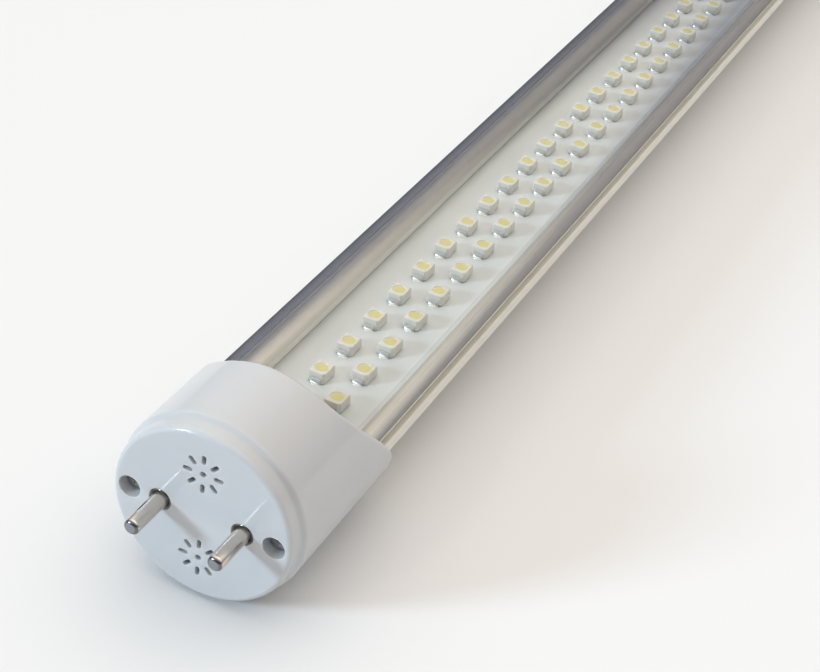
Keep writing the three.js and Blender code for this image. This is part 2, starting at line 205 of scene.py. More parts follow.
def ring(radius, y, segments, x=0.0, z=0.0):
    """Points of a circle round an axis along y."""
    turn = 2 * math.pi / segments
    return [
        (x + radius * math.cos(i * turn), y, z + radius * math.sin(i * turn))
        for i in range(segments)
    ]


def lathe(profile, segments):
    """A shape turned from (radius, y) points. The first and the last may lie on the axis."""
    shape = Shape()
    rings = [shape.loop(ring(r, y, segments)) for r, y in profile if r > 0]
    shape.stack(rings)
    if profile[0][0] == 0:
        shape.fan(rings[0], (0, profile[0][1], 0))
    if profile[-1][0] == 0:
        shape.fan(rings[-1], (0, profile[-1][1], 0))
    return shape


def arc(centre, radius, start, end, steps):
    """Points of an arc in a plane, angles in degrees."""
    points = []
    for i in range(steps + 1):
        angle = math.radians(start + (end - start) * i / steps)
        points.append((centre[0] + radius * math.cos(angle), centre[1] + radius * math.sin(angle)))
    return points


def smooth(value, low, high):
    """Rises gently from 0 at low to 1 at high."""
    t = min(1.0, max(0.0, (value - low) / (high - low)))
    return t * t * (3 - 2 * t)


def extrude(outline, holes, start, end):
    """A closed prism along y, from an outline in x and z and its holes."""
    shape = Shape()
    ends = []
    for y in (start, end):
        loops = [shape.loop((x, y, z) for x, z in path) for path in [outline] + holes]
        shape.fill(loops[0], loops[1:], (0, 2))
        ends.append(loops)
    for a, b in zip(*ends):
        shape.bridge(a, b)
    return shape


def moved(shape, x):
    """A copy of a shape, shifted across the tube."""
    copy = Shape()
    copy.add(shape, Matrix.Translation((x, 0, 0)))
    return copy


def make_mesh(name, shape, turned):
    """The shape as a mesh, in metres in the row frame. The rear end is the front one turned."""
    move = Matrix.Translation((0, -LENGTH / 2, 0))
    if turned:
        move = Matrix.Rotation(math.pi, 4, "Z") @ move
    move = Matrix.Translation((0, 0, AXIS_Z)) @ Matrix.Scale(MM, 4) @ move
    mesh = bpy.data.meshes.new(name)
    mesh.from_pydata([move @ Vector(p) for p in shape.points], [], shape.faces)
    mesh.polygons.foreach_set("material_index", shape.finish)
    work = bmesh.new()
    work.from_mesh(mesh)
    bmesh.ops.remove_doubles(work, verts=work.verts, dist=WELD)
    bmesh.ops.recalc_face_normals(work, faces=work.faces)
    work.to_mesh(mesh)
    work.free()
    return mesh


def shade(mesh, sharp):
    """Smooth shading, broken at edges sharper than this many degrees."""
    mesh.polygons.foreach_set("use_smooth", [True] * len(mesh.polygons))
    mesh.set_sharp_from_angle(angle=math.radians(sharp))


def place(name, shape, materials, nodes, sharp=35.0, turned=False, weighted=True):
    """Makes the Blender object, hangs it on the root body and hides the CAD nodes that it stands for.

    weighted keeps the shading of large flat faces even up to their rounded edges.
    """
    mesh = make_mesh(name, shape, turned)
    for material in materials:
        mesh.materials.append(material)
    shade(mesh, sharp)
    piece = bpy.data.objects.new(name, mesh)
    bpy.context.scene.collection.objects.link(piece)
    if weighted:
        normals = piece.modifiers.new("even_shading", "WEIGHTED_NORMAL")
        normals.keep_sharp = True
    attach(piece, "root")
    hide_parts(*nodes)
    return piece


# ---- end caps -----------------------------------------------------------------------------
CAP_SEGMENTS = 256


def rim_length(z):
    """How far the cap's barrel reaches at this height: short over the LEDs, long underneath."""
    return CAP_LONG + (CAP_SHORT - CAP_LONG) * smooth(z, RIM_LOW_Z, RIM_TOP_Z)


def slot_loop(angle, grow, y, centre_z):
    """Outline of one vent slot, wider by grow, at depth y."""
    inner = VENT_SLOT_INNER + VENT_SLOT_R
    outer = VENT_SLOT_OUTER - VENT_SLOT_R
    radius = VENT_SLOT_R + grow
    flat = arc((outer, 0), radius, -90, 90, 8) + arc((inner, 0), radius, 90, 270, 8)
    turn = Matrix.Rotation(angle, 2)
    points = [turn @ Vector(p) for p in flat]
    return [(p.x, y, centre_z + p.y) for p in points]


def edge_steps(round_r):
    """(grow, depth) steps of the rounded edge where a hole meets the face."""
    steps = 4
    turns = [math.radians(90 * i / steps) for i in range(steps + 1)]
    return [(round_r - round_r * math.sin(turn), round_r * (1 - math.cos(turn))) for turn in turns]


def round_hole(shape, x, radius, levels, edge=0.12, z=0.0, segments=48):
    """A hole with a rounded mouth. levels are further (radius, y) rings. Gives its end loops."""
    profile = [(radius + grow, y) for grow, y in edge_steps(edge)] + levels
    rings = [shape.loop(ring(r, y, segments, x, z)) for r, y in profile]
    shape.stack(rings)
    return rings[0], rings[-1]


def cap_holes(shape):
    """Pin holes, screw holes and vents through the cap's end. Gives their mouths and exits."""
    corner = 0.1
    pin_levels = [
        (PIN_RECESS_R, PIN_RECESS_DEPTH - corner), (PIN_RECESS_R - corner, PIN_RECESS_DEPTH),
        (PIN_HOLE_R, PIN_RECESS_DEPTH), (PIN_HOLE_R, PIN_POST_END),
        (PIN_POST_R, PIN_POST_END), (PIN_POST_R, CAP_FLOOR),
    ]
    screw_levels = [
        (COUNTERBORE_R, COUNTERBORE_DEPTH - corner), (COUNTERBORE_R - corner, COUNTERBORE_DEPTH),
        (SCREW_HOLE_R, COUNTERBORE_DEPTH), (SCREW_HOLE_R, TUBE_START),
        (SCREW_POST_R, TUBE_START), (SCREW_POST_R, CAP_FLOOR),
    ]
    vent_levels = [(VENT_HOLE_R, CAP_FLOOR)]
    vent_edge = 0.1
    mouths, exits = [], []
    for side in (-1, 1):
        vent_z = side * VENT_Z
        for hole in (
            round_hole(shape, side * PIN_X, PIN_RECESS_R, pin_levels),
            round_hole(shape, side * SCREW_X, COUNTERBORE_R, screw_levels, edge=0.08),
            round_hole(shape, 0, VENT_HOLE_R, vent_levels, edge=vent_edge, z=vent_z, segments=20),
        ):
            mouths.append(hole[0])
            exits.append(hole[1])
        for i in range(VENT_SLOTS):
            angle = 2 * math.pi * i / VENT_SLOTS
            rings = [shape.loop(slot_loop(angle, grow, y, vent_z))
                     for grow, y in edge_steps(vent_edge) + [(0, CAP_FLOOR)]]
            shape.stack(rings)
            mouths.append(rings[0])
            exits.append(rings[-1])
    return mouths, exits


def cap_front():
    """(radius, y) points from the face's edge over the narrow band and the soft step."""
    band_middle = 1.5
    steps = 8
    points = arc((BAND_R - FACE_FILLET, FACE_FILLET), FACE_FILLET, -90, 0, 10)
    points += [(BAND_R, band_middle)]
    for i in range(steps + 1):
        y = STEP_START + (STEP_END - STEP_START) * i / steps
        points.append((BAND_R + (CAP_R - BAND_R) * smooth(y, STEP_START, STEP_END), y))
    return points


def cap_barrel(shape):
    """Loops from the step back to the slanted rim, round it, and down the bore to its floor."""
    heights = [CAP_R * math.sin(2 * math.pi * i / CAP_SEGMENTS) for i in range(CAP_SEGMENTS)]
    rims = [rim_length(z) for z in heights]

    def barrel_ring(radius, depths):
        flat = ring(radius, 0, CAP_SEGMENTS)
        return shape.loop((p[0], y, p[2]) for p, y in zip(flat, depths))

    steps = 8
    rings = []
    for i in range(1, steps + 1):
        share = i / steps
        depths = [STEP_END + (rim - RIM_ROUND - STEP_END) * share for rim in rims]
        rings.append(barrel_ring(CAP_R, depths))
    for i in range(1, steps + 1):
        angle = math.radians(90 * i / steps)
        radius = CAP_R - RIM_ROUND * (1 - math.cos(angle))
        back = RIM_ROUND * (1 - math.sin(angle))
        rings.append(barrel_ring(radius, [rim - back for rim in rims]))
    mouth = [(0.1, 0.0), (0.03, 0.03), (0.0, 0.1)]
    for grow, back in mouth:
        rings.append(barrel_ring(BORE_R + grow, [rim - back for rim in rims]))
    floor_corner = [(0.0, 0.3), (-0.02, 0.0)]
    for grow, above in floor_corner:
        rings.append(shape.loop(ring(BORE_R + grow, CAP_FLOOR + above, CAP_SEGMENTS)))
    return rings


def cap_shape():
    """The whole cap: face, holes, barrel and bore."""
    shape = Shape()
    mouths, exits = cap_holes(shape)
    rings = [shape.loop(ring(r, y, CAP_SEGMENTS)) for r, y in cap_front()]
    rings += cap_barrel(shape)
    shape.stack(rings)
    shape.fill(rings[0], mouths, (0, 2))
    shape.fill(rings[-1], exits, (0, 2))
    return shape


def pin_shape():
    """Contact pin: a rounded tip, a flare at its foot, a riveted collar and a tail for the wire."""
    tip_round = 0.68
    pin_r = 1.175
    flare = 0.3
    neck = 0.45
    edge = 0.02
    gap = 0.01
    foot_r = pin_r + flare + edge
    foot_end = PIN_RECESS_DEPTH - gap
    collar_r = 1.9
    collar_start = PIN_POST_END + gap
    tail_r = 0.9
    tail_end = 5.8
    profile = [(0, -PIN_OUT)]
    profile += arc((pin_r - tip_round, tip_round - PIN_OUT), tip_round, -90, 0, 14)
    profile += [(pin_r, -PIN_OUT * 0.5)]
    profile += arc((pin_r + flare, neck - flare), flare, 180, 90, 8)
    profile += [
        (foot_r, neck + edge), (foot_r, foot_end), (pin_r, foot_end), (pin_r, collar_start),
        (collar_r - 0.05, collar_start), (collar_r, PIN_POST_END + 0.1),
        (collar_r - 0.1, PIN_POST_END + 0.5), (1.2, PIN_POST_END + 0.62),
        (tail_r, PIN_POST_END + 0.7), (tail_r, tail_end - 0.1), (tail_r - 0.1, tail_end),
        (0, tail_end),
    ]
    return lathe(profile, 64)


def screw_shape():
    """Cap screw: a low domed head, then the shank, its thread a row of rings."""
    head_r = 1.6
    dome = 0.6
    dome_steps = 12
    top = COUNTERBORE_DEPTH - HEAD_HEIGHT
    profile = [(0, top)]
    for i in range(1, dome_steps + 1):
        angle = math.radians(90 * i / dome_steps)
        profile.append((head_r * math.sin(angle), top + dome * (1 - math.cos(angle))))
    profile += [(head_r, COUNTERBORE_DEPTH - 0.06), (head_r - 0.05, COUNTERBORE_DEPTH)]
    shank_r = 1.0
    thread_depth = 0.09
    root_r = shank_r - thread_depth
    root_end = 0.25
    crest = 0.45
    pitch = 0.65
    thread_end = 15.0
    y = COUNTERBORE_DEPTH
    profile.append((shank_r, y))
    while y < thread_end:
        profile += [(root_r, y + root_end), (shank_r, y + crest), (root_r, y + pitch)]
        y += pitch
    blunt_tip = [(0.5, 0.8), (0, 1.2)]
    profile += [(radius, y + past) for radius, past in blunt_tip]
    return lathe(profile, 48)


def cross_cutter(x):
    """Tapered cross that cuts the screw's recess: two blades at right angles."""
    cutter = Shape()
    clear_above = 0.3
    metal_below = 0.7
    mouth_y = COUNTERBORE_DEPTH - HEAD_HEIGHT - clear_above
    deep_y = COUNTERBORE_DEPTH - metal_below
    corners = [(-1, -1), (1, -1), (1, 1), (-1, 1)]
    first_turn = 20
    for turn in (first_turn, first_turn + 90):
        blade = Shape()
        ends = []
        for half_long, half_thick, y in ((0.92, 0.2, mouth_y), (0.4, 0.13, deep_y)):
            ends.append(blade.loop((half_long * a, y, half_thick * b) for a, b in corners))
        mouth, deep = ends
        blade.bridge(mouth, deep)
        blade.face(mouth)
        blade.face(deep[::-1])
        spin = Matrix.Rotation(math.radians(turn), 4, "Y")
        cutter.add(blade, Matrix.Translation((x, 0, 0)) @ spin)
    return cutter


def cut(piece, shape, sharp, turned):
    """Cuts a shape out of a finished piece."""
    cutter = bpy.data.objects.new("cutter", make_mesh("cutter", shape, turned))
    bpy.context.scene.collection.objects.link(cutter)
    boolean = piece.modifiers.new("recess", "BOOLEAN")
    boolean.operation = "DIFFERENCE"
    boolean.use_self = True
    boolean.object = cutter
    bpy.context.view_layer.update()
    depsgraph = bpy.context.evaluated_depsgraph_get()
    carved = bpy.data.meshes.new_from_object(piece.evaluated_get(depsgraph))
    piece.modifiers.clear()
    piece.data = carved
    shade(carved, sharp)
    bpy.data.objects.remove(cutter)


def add_end(end, turned, plastic, nickel, steel):
    """A cap with its two pins and two screws. The rear end is turned, so its left is at +x."""
    place(f"{end}_cap_moulding", cap_shape(), [plastic],
          [f"{end}_end_cap"], turned=turned)
    sides = {"left": 1, "right": -1} if turned else {"left": -1, "right": 1}
    for side, sign in sides.items():
        place(f"{end}_contact_{side}", moved(pin_shape(), sign * PIN_X), [nickel],
              [f"{end}_pin_{side}"], turned=turned)
        screw_x = sign * SCREW_X
        screw = place(f"{end}_fixing_{side}", moved(screw_shape(), screw_x), [steel],
                      [f"{end}_screw_{side}"], turned=turned, weighted=False)
        cut(screw, cross_cutter(screw_x), 30, turned)


# ---- tube ---------------------------------------------------------------------------------
def mirrored(half):
    """The right half of an outline, run up from a point on the axis, and its mirror image."""
    return half + [(-x, z) for x, z in reversed(half[1:])]


def circle_angle(height, radius):
    """The angle, in degrees, at which a circle round the axis reaches this height."""
    return math.degrees(math.asin(height / radius))


def reach(height):
    """How far across the tube's round outside lies at this height."""
    return math.sqrt(TUBE_R**2 - height**2)


def circles_meet(wall_r, port_r):
    """Where a circle round the axis meets one round the right screw port: x, and z to both sides."""
    x = (SCREW_X**2 + wall_r**2 - port_r**2) / (2 * SCREW_X)
    return x, math.sqrt(wall_r**2 - x**2)


def ribbed_arc(start, end):
    """The heat sink's outer wall, with fine rounded grooves along it. Angles in degrees."""
    grooves = 12
    pitch = 6.33
    groove_half = math.degrees(0.3 / TUBE_R)
    depth = 0.26
    land = 0.35
    steps = 10
    points = []
    position = start
    for number in range(1, grooves + 1):
        low = start + pitch * number - groove_half
        points += arc((0, 0), TUBE_R, position, low - land, 3)
        for i in range(steps + 1):
            share = i / steps
            at = math.radians(low + 2 * groove_half * share)
            sunk = TUBE_R
            if 0 < share < 1:
                sunk -= depth * math.sin(math.pi * share) ** 0.6
            points.append((sunk * math.cos(at), sunk * math.sin(at)))
        position = low + 2 * groove_half + land
    points += arc((0, 0), TUBE_R, position, end, 8)
    return points


def heat_sink_outline():
    """Ribbed wall, screw ports that open outwards as side slots, and the shelf between them."""
    edge = 0.08
    lip_edge = 0.03
    slot_angle = circle_angle(SIDE_SLOT_HALF, PORT_R)
    half = ribbed_arc(-90, -circle_angle(SIDE_SLOT_HALF + edge, TUBE_R))
    half += [(reach(SIDE_SLOT_HALF) - edge, -SIDE_SLOT_HALF)]
    half += arc(PORT, PORT_R, -slot_angle, slot_angle - 360, 40)
    half += [(reach(SIDE_SLOT_HALF) - lip_edge, SIDE_SLOT_HALF)]
    half += [(reach(SIDE_SLOT_HALF + lip_edge), SIDE_SLOT_HALF + lip_edge)]
    half += [(reach(LIP_TOP - lip_edge), LIP_TOP - lip_edge)]
    half += [(reach(LIP_TOP) - lip_edge, LIP_TOP)]
    shoulder = circle_angle(LIP_TOP, PORT_OUTER_R)
    meet_x, meet_down = circles_meet(CAVITY_R, PORT_OUTER_R)
    meet = math.degrees(math.atan2(-meet_down, meet_x - SCREW_X))
    half += arc(PORT, PORT_OUTER_R, shoulder, meet + 360, 44)
    wall_low = -circle_angle(-SHELF_TOP, CAVITY_R)
    half += arc((0, 0), CAVITY_R, -circle_angle(meet_down, CAVITY_R), wall_low, 4)[1:]
    return mirrored(half)


def cavity_outline():
    """The driver's space under the shelf."""
    top = -circle_angle(-SHELF_BOTTOM, CAVITY_R)
    return arc((0, 0), CAVITY_R, top, -180 - top, 64)


def cover_outline():
    """A round wall whose feet grip the outside of the screw ports."""
    inner_r = TUBE_R - COVER_WALL
    grip = PORT_OUTER_R + PORT_GAP
    foot = grip + FOOT_WALL
    meet_x, meet_z = circles_meet(inner_r, foot)
    meet = math.degrees(math.atan2(meet_z, meet_x - SCREW_X))
    inner = arc((0, 0), inner_r, 90, math.degrees(math.atan2(meet_z, meet_x)), 60)
    foot_round = 0.1
    lip_round = 0.05
    foot_top = arc(PORT, foot, meet, 180 - circle_angle(COVER_EDGE + foot_round, foot), 16)
    foot_end = [(SCREW_X - math.sqrt(foot**2 - COVER_EDGE**2) + foot_round, COVER_EDGE)]
    edge_angle = circle_angle(COVER_EDGE, grip)
    foot_under = arc(PORT, grip, 180 - edge_angle, edge_angle, 28)
    lip = [(reach(COVER_EDGE) - lip_round, COVER_EDGE)]
    outer = arc((0, 0), TUBE_R, circle_angle(COVER_EDGE + lip_round, TUBE_R), 90, 72)
    half = inner + foot_top[1:] + foot_end + foot_under + lip + outer
    left = [(-x, z) for x, z in reversed(half)]
    return half[1:] + left[1:]


def cover_shape(start, finish):
    """The clear cover: its round outside is finish 0, its inside and its feet are finish 1."""
    cover = extrude(cover_outline(), [], start, finish)
    outside_r = TUBE_R - 0.08
    for number, face in enumerate(cover.faces):
        nearest = min(math.hypot(cover.points[k][0], cover.points[k][2]) for k in face)
        cover.finish[number] = 0 if nearest > outside_r else 1
    return cover


def board_shape():
    """LED board: a slim slab with broken edges."""
    edge = 0.06
    x = BOARD_HALF
    outline = [
        (x - edge, BOARD_BOTTOM), (x, BOARD_BOTTOM + edge), (x, BOARD_TOP - edge),
        (x - edge, BOARD_TOP), (-x + edge, BOARD_TOP), (-x, BOARD_TOP - edge),
        (-x, BOARD_BOTTOM + edge), (-x + edge, BOARD_BOTTOM),
    ]
    return extrude(outline, [], BOARD_START, LENGTH - BOARD_START)


# ---- LED packages -------------------------------------------------------------------------
def package_loop(inset, z):
    """Outline of the package at one height: a rectangle with one corner cut for polarity."""
    corner = 0.14
    cut_corner = 0.42
    x = LED_WIDTH / 2 - inset
    y = LED_LENGTH / 2 - inset
    points = []
    for sx, sy, start in ((1, 1, 0), (-1, 1, 90), (-1, -1, 180), (1, -1, 270)):
        if (sx, sy) == (1, -1):
            points += [(x - cut_corner, -y, z), (x - cut_corner * 0.5, -y + cut_corner * 0.5, z),
                       (x, -y + cut_corner, z)]
        else:
            centre = (sx * (x - corner), sy * (y - corner))
            points += [(a, b, z) for a, b in arc(centre, corner, start, start + 90, 3)]
    return points


def window_loop(radius, z):
    """Points of a circle round the package's middle."""
    segments = 24
    last = 360 - 360 / segments
    return [(x, y, z) for x, y in arc((0, 0), radius, 0, last, segments - 1)]


def led_shape():
    """One package, its bottom at z 0.

    Housing 0, phosphor 1, tinned leads and solder 2, the phosphor's thin rim 3.
    """
    led = Shape()
    # (inset, z) up the housing, then (radius, z) down the window's well and over its dome
    levels = [(0.12, 0.12), (0.02, 0.16), (0.0, 0.3), (0.0, 0.92), (0.03, 0.95),
              (0.09, LED_HEIGHT - 0.1), (0.12, LED_HEIGHT - 0.03), (0.18, LED_HEIGHT)]
    rings = [led.loop(package_loop(inset, z)) for inset, z in levels]
    led.stack(rings)
    led.face(rings[0][::-1])
    well = [(1.2, LED_HEIGHT), (1.16, LED_HEIGHT - 0.04), (1.1, LED_HEIGHT - 0.16)]
    window = [led.loop(window_loop(radius, z)) for radius, z in well]
    led.stack(window)
    led.fill(rings[-1], [window[0]], (0, 1))
    crown = [(0.93, LED_HEIGHT - 0.14), (0.45, LED_HEIGHT - 0.1)]
    dome = [window[-1]] + [led.loop(window_loop(radius, z)) for radius, z in crown]
    led.stack(dome[:2], 3)
    led.stack(dome[1:], 1)
    led.fan(dome[-1], (0, 0, LED_HEIGHT - 0.09), 1)
    for side in (-1, 1):
        led.add(lead_shape(side))
    return led


def lead_shape(side):
    """A tinned lead folded down the package's end, and the solder fillet at its foot."""
    lead = Shape()
    half_width = 0.85
    columns = 7
    lead_front = 0.16
    # (how far out from the package's end, height): the folded lead, then the fillet
    profile = [
        (-0.3, 0.02), (-0.3, 0.9), (0.1, 0.9), (lead_front, 0.84), (0.17, 0.55), (0.21, 0.34),
        (0.3, 0.18), (0.42, 0.08), (0.55, 0.03), (0.57, 0.0), (-0.3, 0.0),
    ]
    rows = []
    for i in range(columns + 1):
        share = 2 * i / columns - 1
        # the fillet draws in towards its two sides, and is a little wider than the lead
        drawn_in = 0.5 * abs(share) ** 4
        row = []
        for out, z in profile:
            fillet = out if out > lead_front else 0
            x = half_width * share * (1 + 0.12 * min(fillet, 0.5))
            row.append((x, side * (LED_LENGTH / 2 + out - fillet * drawn_in), z))
        rows.append(lead.loop(row))
    lead.stack(rows, 2)
    lead.face(rows[0][::-1], 2)
    lead.face(rows[-1], 2)
    return lead


def led_row(first, x, seed):
    """A row of packages, each set down by the machine with its own tiny error."""
    wobble = random.Random(seed)
    off_across, off_along, off_turn = 0.05, 0.06, 1.6
    row = Shape()
    led = led_shape()
    for i in range(LEDS_PER_ROW):
        across = x + wobble.uniform(-off_across, off_across)
        along = first + i * LED_PITCH + wobble.uniform(-off_along, off_along)
        spot = (across, along, BOARD_TOP + 0.005)
        turn = math.radians(wobble.uniform(-off_turn, off_turn))
        row.add(led, Matrix.Translation(spot) @ Matrix.Rotation(turn, 4, "Z"))
    return row


# ---- materials ----------------------------------------------------------------------------
class Look:
    """A node material round one Principled shader."""

    def __init__(self, name, color, roughness, metallic=0.0, **sockets):
        self.material = bpy.data.materials.new(name)
        self.material.use_nodes = True
        self.tree = self.material.node_tree
        self.shader = self.tree.nodes["Principled BSDF"]
        self.set(self.shader, "Base Color", (*color, 1))
        self.set(self.shader, "Roughness", roughness)
        self.set(self.shader, "Metallic", metallic)
        for socket, value in sockets.items():
            self.set(self.shader, socket.replace("_", " "), value)
        self.position = self.node("ShaderNodeTexCoord").outputs["Object"]

    def node(self, kind, **inputs):
        """A new node. Each input is a value or another node's output."""
        made = self.tree.nodes.new(kind)
        for socket, value in inputs.items():
            self.set(made, socket.replace("_", " "), value)
        return made

    def set(self, node, socket, value):
        if isinstance(value, bpy.types.NodeSocket):
            self.tree.links.new(value, node.inputs[socket])
        else:
            node.inputs[socket].default_value = value

    def stretched(self, scale):
        """The piece's coordinates, in metres, times a scale for each axis."""
        mapping = self.node("ShaderNodeMapping", Vector=self.position, Scale=scale)
        return mapping.outputs["Vector"]

    def noise(self, scale, detail=3.0, rough=0.55, along=(1, 1, 1)):
        made = self.node("ShaderNodeTexNoise", Vector=self.stretched(along), Scale=scale,
                         Detail=detail, Roughness=rough)
        return made.outputs["Fac"]

    def ramp(self, value, stops):
        """A colour for each value. stops are (value, colour) pairs."""
        made = self.node("ShaderNodeValToRGB", Fac=value)
        ramp = made.color_ramp
        while len(ramp.elements) < len(stops):
            ramp.elements.new(0.5)
        for element, (position, color) in zip(ramp.elements, stops):
            element.position = position
            element.color = (*color, 1)
        return made.outputs["Color"]

    def span(self, value, low, high):
        """Takes a 0 to 1 value to a range."""
        made = self.node("ShaderNodeMapRange", Value=value)
        made.inputs["To Min"].default_value = low
        made.inputs["To Max"].default_value = high
        return made.outputs["Result"]

    def mix(self, share, a, b):
        """Goes from colour a to colour b as share goes from 0 to 1."""
        made = self.tree.nodes.new("ShaderNodeMix")
        made.data_type = "RGBA"
        share_input, a_input, b_input = made.inputs[0], made.inputs[6], made.inputs[7]
        self.tree.links.new(share, share_input)
        self.tree.links.new(a, a_input)
        b_input.default_value = (*b, 1)
        return made.outputs[2]

    def bump(self, height, strength, distance, normal=None):
        made = self.node("ShaderNodeBump", Height=height, Strength=strength, Distance=distance)
        if normal is not None:
            self.set(made, "Normal", normal)
        return made.outputs["Normal"]

    def color(self, value):
        self.set(self.shader, "Base Color", value)

    def roughness(self, value):
        self.set(self.shader, "Roughness", value)

    def normal(self, value):
        self.set(self.shader, "Normal", value)


def white_plastic():
    look = Look("white_plastic", (0.56, 0.563, 0.57), 0.3, Subsurface_Weight=0.5,
                Specular_IOR_Level=0.25, Coat_Roughness=0.04, IOR=1.5)
    facing = look.node("ShaderNodeLayerWeight", Blend=0.5).outputs["Facing"]
    look.set(look.shader, "Coat Weight", look.span(facing, 0.75, 0.1))
    look.set(look.shader, "Subsurface Radius", (1.0, 0.9, 0.8))
    look.set(look.shader, "Subsurface Scale", 0.001)
    cloud = look.noise(60.0, 3.0)
    look.color(look.ramp(cloud, [(0.3, (0.55, 0.553, 0.56)), (0.7, (0.57, 0.573, 0.58))]))
    look.roughness(look.span(look.noise(260.0, 2.0), 0.27, 0.33))
    peel = look.bump(look.noise(420.0, 1.0), 0.05, 0.00003)
    look.normal(look.bump(look.noise(6000.0, 2.0), 0.03, 0.000005, peel))
    return look.material


def clear_plastic(name, stops, gloss_low, gloss_high):
    """Clear extruded plastic. stops give its tint from face on, 0, to edge on, 1."""
    look = Look(name, (0.9, 0.92, 0.93), 0.05, 1.0)
    tree = look.tree
    facing = look.node("ShaderNodeLayerWeight", Blend=0.5).outputs["Facing"]
    tint = look.ramp(facing, stops)
    window = look.node("ShaderNodeBsdfTransparent", Color=tint).outputs["BSDF"]
    grazing = look.node("ShaderNodeMath", Value=facing)
    grazing.operation = "POWER"
    grazing.inputs[1].default_value = 5.0
    gloss = look.span(grazing.outputs["Value"], gloss_low, gloss_high)
    body = look.node("ShaderNodeMixShader", Fac=gloss)
    tree.links.new(window, body.inputs[1])
    tree.links.new(look.shader.outputs["BSDF"], body.inputs[2])
    tree.links.new(body.outputs["Shader"], tree.nodes["Material Output"].inputs["Surface"])
    look.normal(look.bump(look.noise(500.0, 2.0, 0.5, (1, 0.04, 1)), 0.06, 0.00004))
    return look.material


def brushed(name, light, dark, low, high, lines):
    """Metal with fine lines along the tube. low and high are its least and most roughness."""
    look = Look(name, light, (low + high) / 2, 1.0)
    streaks = look.noise(lines, 4.0, 0.6, (1, 0.012, 1))
    cloud = look.noise(160.0, 3.0)
    streaked = look.ramp(streaks, [(0.3, dark), (0.7, light)])
    look.color(look.mix(look.span(cloud, 0.0, 0.35), streaked, tuple(0.82 * c for c in light)))
    look.roughness(look.span(streaks, low, high))
    look.normal(look.bump(streaks, 0.2, 0.00001))
    return look.material


def satin_nickel():
    """Nickel plate, dull along the pin, with painted shade on its rounded tip and where it leaves the
    cap.
    """
    look = Look("satin_nickel", (0.66, 0.61, 0.54), 0.3, 1.0)
    axes = look.node("ShaderNodeSeparateXYZ", Vector=look.position)
    distance = look.node("ShaderNodeMath", Value=axes.outputs["Y"])
    distance.operation = "ABSOLUTE"

    def along(near, far):
        """0 to 1 between two distances from the cap's face, outwards."""
        made = look.node("ShaderNodeMapRange", Value=distance.outputs["Value"])
        made.inputs["From Min"].default_value = (LENGTH / 2 + near) * MM
        made.inputs["From Max"].default_value = (LENGTH / 2 + far) * MM
        return made.outputs["Result"]

    cloud = look.noise(420.0, 3.0)
    plate = look.ramp(cloud, [(0.3, (0.63, 0.565, 0.50)), (0.7, (0.72, 0.65, 0.585))])
    # painted shade: the pin turns dark deeper than 0.3 mm inside the cap's face, where its recess lies
    # in shadow
    root_shaded = look.mix(along(-0.12, -0.3), plate, (0.15, 0.14, 0.13))
    # painted shade: a dark ring on the tip's rounded shoulder stands in for the dark room that it
    # reflects
    shoulder = look.mix(along(PIN_OUT - 0.5, PIN_OUT - 0.3), root_shaded, (0.19, 0.19, 0.195))
    # painted reflection: the flat end of the tip is a darker blue-grey, for the dark room that it faces
    look.color(look.mix(along(PIN_OUT - 0.08, PIN_OUT - 0.02), shoulder, (0.29, 0.305, 0.335)))
    look.roughness(look.span(look.noise(900.0, 2.0), 0.18, 0.26))
    turned = look.noise(5200.0, 3.0, 0.6, (0.25, 1, 0.25))
    look.normal(look.bump(turned, 0.01, 0.00001))
    return look.material


def tinned():
    look = Look("tinned_solder", (0.62, 0.615, 0.60), 0.35, 1.0)
    look.roughness(look.span(look.noise(2500.0, 3.0), 0.28, 0.45))
    look.normal(look.bump(look.noise(2200.0, 2.0), 0.3, 0.00004))
    return look.material


def led_housing():
    look = Look("led_housing", (0.66, 0.64, 0.59), 0.38, Subsurface_Weight=0.6)
    look.set(look.shader, "Subsurface Radius", (1.0, 1.0, 0.9))
    look.set(look.shader, "Subsurface Scale", 0.001)
    shades = [(0.3, (0.63, 0.61, 0.56)), (0.7, (0.68, 0.66, 0.61))]
    look.color(look.ramp(look.noise(300.0), shades))
    look.normal(look.bump(look.noise(8000.0), 0.08, 0.00001))
    return look.material


def phosphor(name, dark, light):
    look = Look(name, light, 0.3, Subsurface_Weight=0.15, Coat_Weight=0.5, Coat_Roughness=0.08)
    look.set(look.shader, "Subsurface Radius", (1.0, 0.9, 0.5))
    look.set(look.shader, "Subsurface Scale", 0.0003)
    look.color(look.ramp(look.noise(2600.0, 4.0), [(0.3, dark), (0.7, light)]))
    look.normal(look.bump(look.noise(9000.0), 0.12, 0.00001))
    return look.material


def board_mask():
    look = Look("board_mask", (0.60, 0.633, 0.635), 0.38, Coat_Weight=0.15, Coat_Roughness=0.2)
    shades = [(0.3, (0.58, 0.61, 0.61)), (0.7, (0.625, 0.655, 0.66))]
    look.color(look.ramp(look.noise(70.0, 4.0), shades))
    look.roughness(look.span(look.noise(900.0), 0.3, 0.46))
    look.normal(look.bump(look.noise(4200.0, 3.0), 0.1, 0.00002))
    return look.material


def plain_look(name, color, roughness):
    """A moulded, painted or sintered surface: slight colour and gloss changes and a fine grain."""
    grain = 1800.0
    contrast = 0.12
    look = Look(name, color, roughness)
    dark = tuple(c * (1 - contrast) for c in color)
    light = tuple(min(1.0, c * (1 + contrast)) for c in color)
    look.color(look.ramp(look.noise(grain / 8, 4.0), [(0.3, dark), (0.7, light)]))
    look.roughness(look.span(look.noise(grain / 3), roughness - 0.08, roughness + 0.08))
    look.normal(look.bump(look.noise(grain), 0.25, 0.00003))
    return look.material


